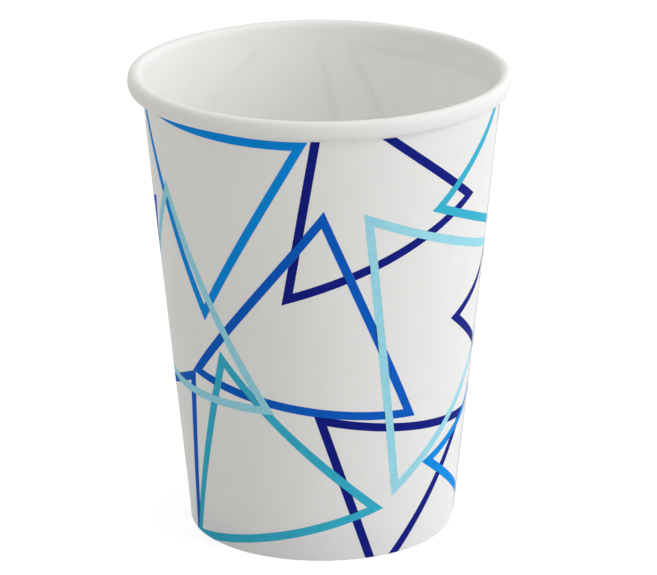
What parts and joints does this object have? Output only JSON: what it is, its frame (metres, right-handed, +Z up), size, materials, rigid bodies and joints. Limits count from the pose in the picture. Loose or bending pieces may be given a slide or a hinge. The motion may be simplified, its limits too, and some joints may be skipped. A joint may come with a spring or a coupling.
{
  "type": "paper cold cup",
  "caption": "Tapered paper cold cup with a rolled rim, a lapped side seam and a recessed base disc held in a folded hem.",
  "frame": {"origin": "centre of the base, on the plane that the cup stands on", "axes": "+Z up along the cup's axis towards the rim; the side seam's root edge is 10 degrees from +X towards +Y; the front is -Y"},
  "size_m": [0.09, 0.09, 0.111],
  "materials": {
    "wall_board": "white, smooth, with a thin satin film coating",
    "base_board": "white, smooth, with a thin satin film coating",
    "ink_navy": "printed, under the satin film",
    "ink_royal": "printed, under the satin film",
    "ink_azure": "printed, under the satin film",
    "ink_teal": "printed, under the satin film",
    "ink_aqua": "printed, under the satin film",
    "ink_overlap": "printed, under the satin film"
  },
  "bodies": {
    "root": {"sidewall": "wall_board", "base_disc": "base_board"}
  },
  "joints": []
}
